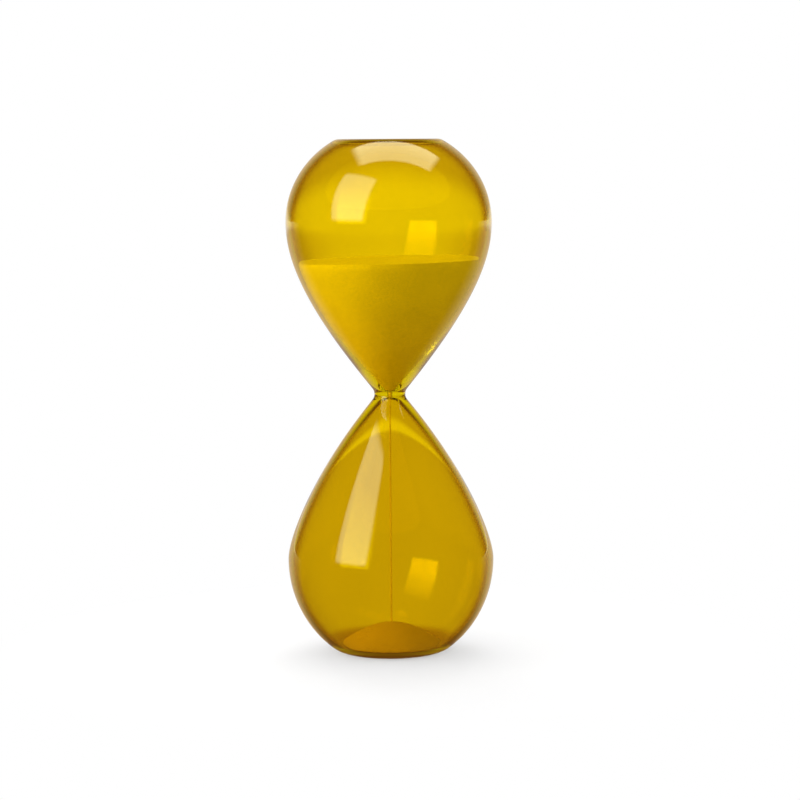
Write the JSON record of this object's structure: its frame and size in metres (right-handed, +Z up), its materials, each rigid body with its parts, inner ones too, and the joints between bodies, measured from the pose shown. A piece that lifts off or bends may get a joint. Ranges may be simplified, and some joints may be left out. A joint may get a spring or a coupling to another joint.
{
  "type": "hourglass",
  "caption": "Frameless hourglass: blown glass bulbs fused at a thick throat, a melted-in filling plug, and a charge of sand that stands partly run through.",
  "frame": {"origin": "middle of the flat end that the hourglass stands on", "axes": "+Z up along the axis of the bulbs; the shape is round, so +X and +Y are free"},
  "size_m": [0.0914, 0.0914, 0.2275],
  "materials": {
    "tinted_glass": "clear yellow glass, fire polished",
    "seal_glass": "melted yellow glass plug",
    "sand": "fine dry sand"
  },
  "bodies": {
    "glass_vessel": {"upper_bulb": "tinted_glass", "lower_bulb": "tinted_glass", "throat": "tinted_glass", "fill_seal": "seal_glass", "sand_stream": "sand"},
    "upper_sand": {"sand_charge": "sand"},
    "lower_sand": {"sand_heap": "sand"}
  },
  "joints": [
    {"name": "charge_shift", "type": "slide", "parent": "glass_vessel", "child": "upper_sand", "axis": [0, 0, 1], "range_m": [0, 0.031], "deforming": ["sand_stream"]},
    {"name": "heap_shift", "type": "slide", "parent": "glass_vessel", "child": "lower_sand", "axis": [0, 0, 1], "range_m": [0, 0.0806]}
  ],
  "couplings": [
    {"joint": "heap_shift", "follows": "charge_shift", "ratio": 2.6}
  ]
}
